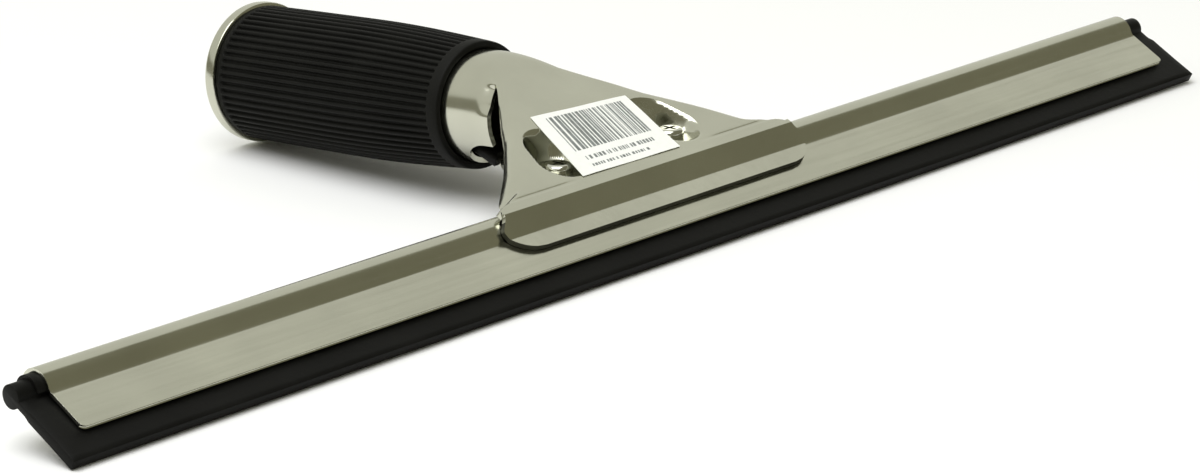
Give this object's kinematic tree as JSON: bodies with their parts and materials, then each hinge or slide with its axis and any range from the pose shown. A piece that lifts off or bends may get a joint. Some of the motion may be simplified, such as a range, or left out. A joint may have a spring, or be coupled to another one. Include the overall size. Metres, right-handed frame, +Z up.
{
  "type": "window cleaning squeegee",
  "caption": "Hand squeegee: a rubber blade in a metal channel, clamped by a sprung jaw on a fan-shaped head with a ribbed tube handle.",
  "frame": {"origin": "centre of the underside of the whole tool as it lies on a table", "axes": "+X along the blade, +Y back towards the free end of the handle, +Z up off the table"},
  "size_m": [0.3628, 0.1495, 0.0369],
  "materials": {
    "stainless": "bright rolled stainless, soft reflections",
    "stainless_channel": "satin rolled stainless, grain along the blade",
    "plated_steel": "bright plating",
    "spring_steel": "oiled spring wire",
    "blade_rubber": "smooth, faint sheen",
    "grip_rubber": "matt with fine ribs",
    "black_plastic": "moulded, matt",
    "label_paper": "satin paper with grey printed bars"
  },
  "bodies": {
    "handle": {"handle_body": "stainless", "pivot_screws": "plated_steel", "pivot_spacers": "plated_steel", "pivot_washers": "plated_steel", "lock_nuts": "plated_steel", "spring_seat": "black_plastic", "grip_sleeve": "grip_rubber", "rear_ferrule": "stainless", "pole_socket_liner": "black_plastic", "barcode_label": "label_paper"},
    "jaw": {"lower_jaw": "stainless", "release_tab": "black_plastic", "spring_post": "black_plastic", "clamp_spring": "spring_steel"},
    "channel": {"blade_channel": "stainless_channel"},
    "rubber": {"squeegee_rubber": "blade_rubber"},
    "plug_left": {"end_plug_left": "black_plastic"},
    "plug_right": {"end_plug_right": "black_plastic"}
  },
  "joints": [
    {"name": "jaw_release", "type": "hinge", "parent": "handle", "child": "jaw", "pos_m": [0, -0.04743, 0.00738], "axis": [1, 0, 0], "range_deg": [0, 6], "stiffness_Nm_per_rad": 0.6, "springref_deg": -28.65, "deforming": ["clamp_spring"]},
    {"name": "channel_slide", "type": "slide", "parent": "handle", "child": "channel", "axis": [1, 0, 0], "range_m": [-0.125, 0.125]},
    {"name": "rubber_slide", "type": "slide", "parent": "channel", "child": "rubber", "axis": [1, 0, 0], "range_m": [-0.3, 0.3]},
    {"name": "left_plug_pull", "type": "slide", "parent": "channel", "child": "plug_left", "axis": [-1, 0, 0], "range_m": [-0.003, 0.01]},
    {"name": "right_plug_pull", "type": "slide", "parent": "channel", "child": "plug_right", "axis": [1, 0, 0], "range_m": [0, 0.013]}
  ]
}
